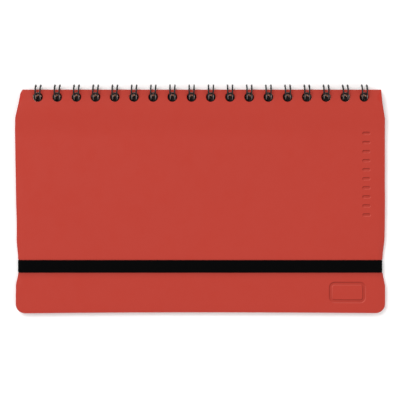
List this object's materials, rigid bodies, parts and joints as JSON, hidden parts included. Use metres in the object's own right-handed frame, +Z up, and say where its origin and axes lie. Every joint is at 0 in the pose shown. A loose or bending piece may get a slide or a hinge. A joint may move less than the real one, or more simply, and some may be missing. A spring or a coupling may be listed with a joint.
{
  "type": "wire-bound planner",
  "caption": "Landscape top-bound planner: soft covers and paper leaves on a twin-loop wire, held shut by a flat elastic band.",
  "frame": {"origin": "centre of the footprint, on the surface the planner lies on", "axes": "+Z up through the closed planner, +X along the binding, +Y from the free edge towards the binding"},
  "size_m": [0.1632, 0.101, 0.0073],
  "materials": {
    "cover_red": "matt, fine embossed grain",
    "wire_black": "satin nylon coating over steel wire",
    "elastic_black": "flat woven elastic",
    "clip_metal": "plain nickel",
    "paper_cream": "uncoated"
  },
  "bodies": {
    "back_cover": {"back_cover": "cover_red", "elastic_clip_left": "clip_metal", "elastic_clip_right": "clip_metal"},
    "notes_leaf_b": {"notes_leaf_b": "paper_cream"},
    "notes_leaf_a": {"notes_leaf_a": "paper_cream"},
    "december_leaf": {"december_leaf": "paper_cream"},
    "november_leaf": {"november_leaf": "paper_cream"},
    "october_leaf": {"october_leaf": "paper_cream"},
    "september_leaf": {"september_leaf": "paper_cream"},
    "august_leaf": {"august_leaf": "paper_cream"},
    "july_leaf": {"july_leaf": "paper_cream"},
    "june_leaf": {"june_leaf": "paper_cream"},
    "may_leaf": {"may_leaf": "paper_cream"},
    "april_leaf": {"april_leaf": "paper_cream"},
    "march_leaf": {"march_leaf": "paper_cream"},
    "february_leaf": {"february_leaf": "paper_cream"},
    "january_leaf": {"january_leaf": "paper_cream"},
    "year_leaf": {"year_leaf": "paper_cream"},
    "title_leaf": {"title_leaf": "paper_cream"},
    "front_cover": {"front_cover": "cover_red"},
    "binding_wire": {"binding_wire": "wire_black"},
    "elastic_band": {"elastic_band": "elastic_black"}
  },
  "joints": [
    {"name": "notes_b_turn", "type": "hinge", "parent": "back_cover", "child": "notes_leaf_b", "pos_m": [0, 0.04782, 0.00362], "axis": [-1, 0, 0], "range_deg": [0, 180]},
    {"name": "notes_a_turn", "type": "hinge", "parent": "notes_leaf_b", "child": "notes_leaf_a", "pos_m": [0, 0.04782, 0.00362], "axis": [-1, 0, 0], "range_deg": [0, 180]},
    {"name": "december_turn", "type": "hinge", "parent": "notes_leaf_a", "child": "december_leaf", "pos_m": [0, 0.04782, 0.00362], "axis": [-1, 0, 0], "range_deg": [0, 180]},
    {"name": "november_turn", "type": "hinge", "parent": "december_leaf", "child": "november_leaf", "pos_m": [0, 0.04782, 0.00362], "axis": [-1, 0, 0], "range_deg": [0, 180]},
    {"name": "october_turn", "type": "hinge", "parent": "november_leaf", "child": "october_leaf", "pos_m": [0, 0.04782, 0.00362], "axis": [-1, 0, 0], "range_deg": [0, 180]},
    {"name": "september_turn", "type": "hinge", "parent": "october_leaf", "child": "september_leaf", "pos_m": [0, 0.04782, 0.00362], "axis": [-1, 0, 0], "range_deg": [0, 180]},
    {"name": "august_turn", "type": "hinge", "parent": "september_leaf", "child": "august_leaf", "pos_m": [0, 0.04782, 0.00362], "axis": [-1, 0, 0], "range_deg": [0, 180]},
    {"name": "july_turn", "type": "hinge", "parent": "august_leaf", "child": "july_leaf", "pos_m": [0, 0.04782, 0.00362], "axis": [-1, 0, 0], "range_deg": [0, 180]},
    {"name": "june_turn", "type": "hinge", "parent": "july_leaf", "child": "june_leaf", "pos_m": [0, 0.04782, 0.00362], "axis": [-1, 0, 0], "range_deg": [0, 180]},
    {"name": "may_turn", "type": "hinge", "parent": "june_leaf", "child": "may_leaf", "pos_m": [0, 0.04782, 0.00362], "axis": [-1, 0, 0], "range_deg": [0, 180]},
    {"name": "april_turn", "type": "hinge", "parent": "may_leaf", "child": "april_leaf", "pos_m": [0, 0.04782, 0.00362], "axis": [-1, 0, 0], "range_deg": [0, 180]},
    {"name": "march_turn", "type": "hinge", "parent": "april_leaf", "child": "march_leaf", "pos_m": [0, 0.04782, 0.00362], "axis": [-1, 0, 0], "range_deg": [0, 180]},
    {"name": "february_turn", "type": "hinge", "parent": "march_leaf", "child": "february_leaf", "pos_m": [0, 0.04782, 0.00362], "axis": [-1, 0, 0], "range_deg": [0, 180]},
    {"name": "january_turn", "type": "hinge", "parent": "february_leaf", "child": "january_leaf", "pos_m": [0, 0.04782, 0.00362], "axis": [-1, 0, 0], "range_deg": [0, 180]},
    {"name": "year_turn", "type": "hinge", "parent": "january_leaf", "child": "year_leaf", "pos_m": [0, 0.04782, 0.00362], "axis": [-1, 0, 0], "range_deg": [0, 180]},
    {"name": "title_turn", "type": "hinge", "parent": "year_leaf", "child": "title_leaf", "pos_m": [0, 0.04782, 0.00362], "axis": [-1, 0, 0], "range_deg": [0, 180]},
    {"name": "front_cover_turn", "type": "hinge", "parent": "title_leaf", "child": "front_cover", "pos_m": [0, 0.04782, 0.00362], "axis": [-1, 0, 0], "range_deg": [0, 180]},
    {"name": "binding_wire_spin", "type": "hinge", "parent": "back_cover", "child": "binding_wire", "pos_m": [0, 0.04693, 0.00372], "axis": [1, 0, 0], "range_deg": [-30, 230]},
    {"name": "elastic_release", "type": "slide", "parent": "back_cover", "child": "elastic_band", "axis": [0, -0.9, 0.4359], "range_m": [0, 0.027], "stiffness_N_per_m": 50, "deforming": ["elastic_band"]}
  ]
}
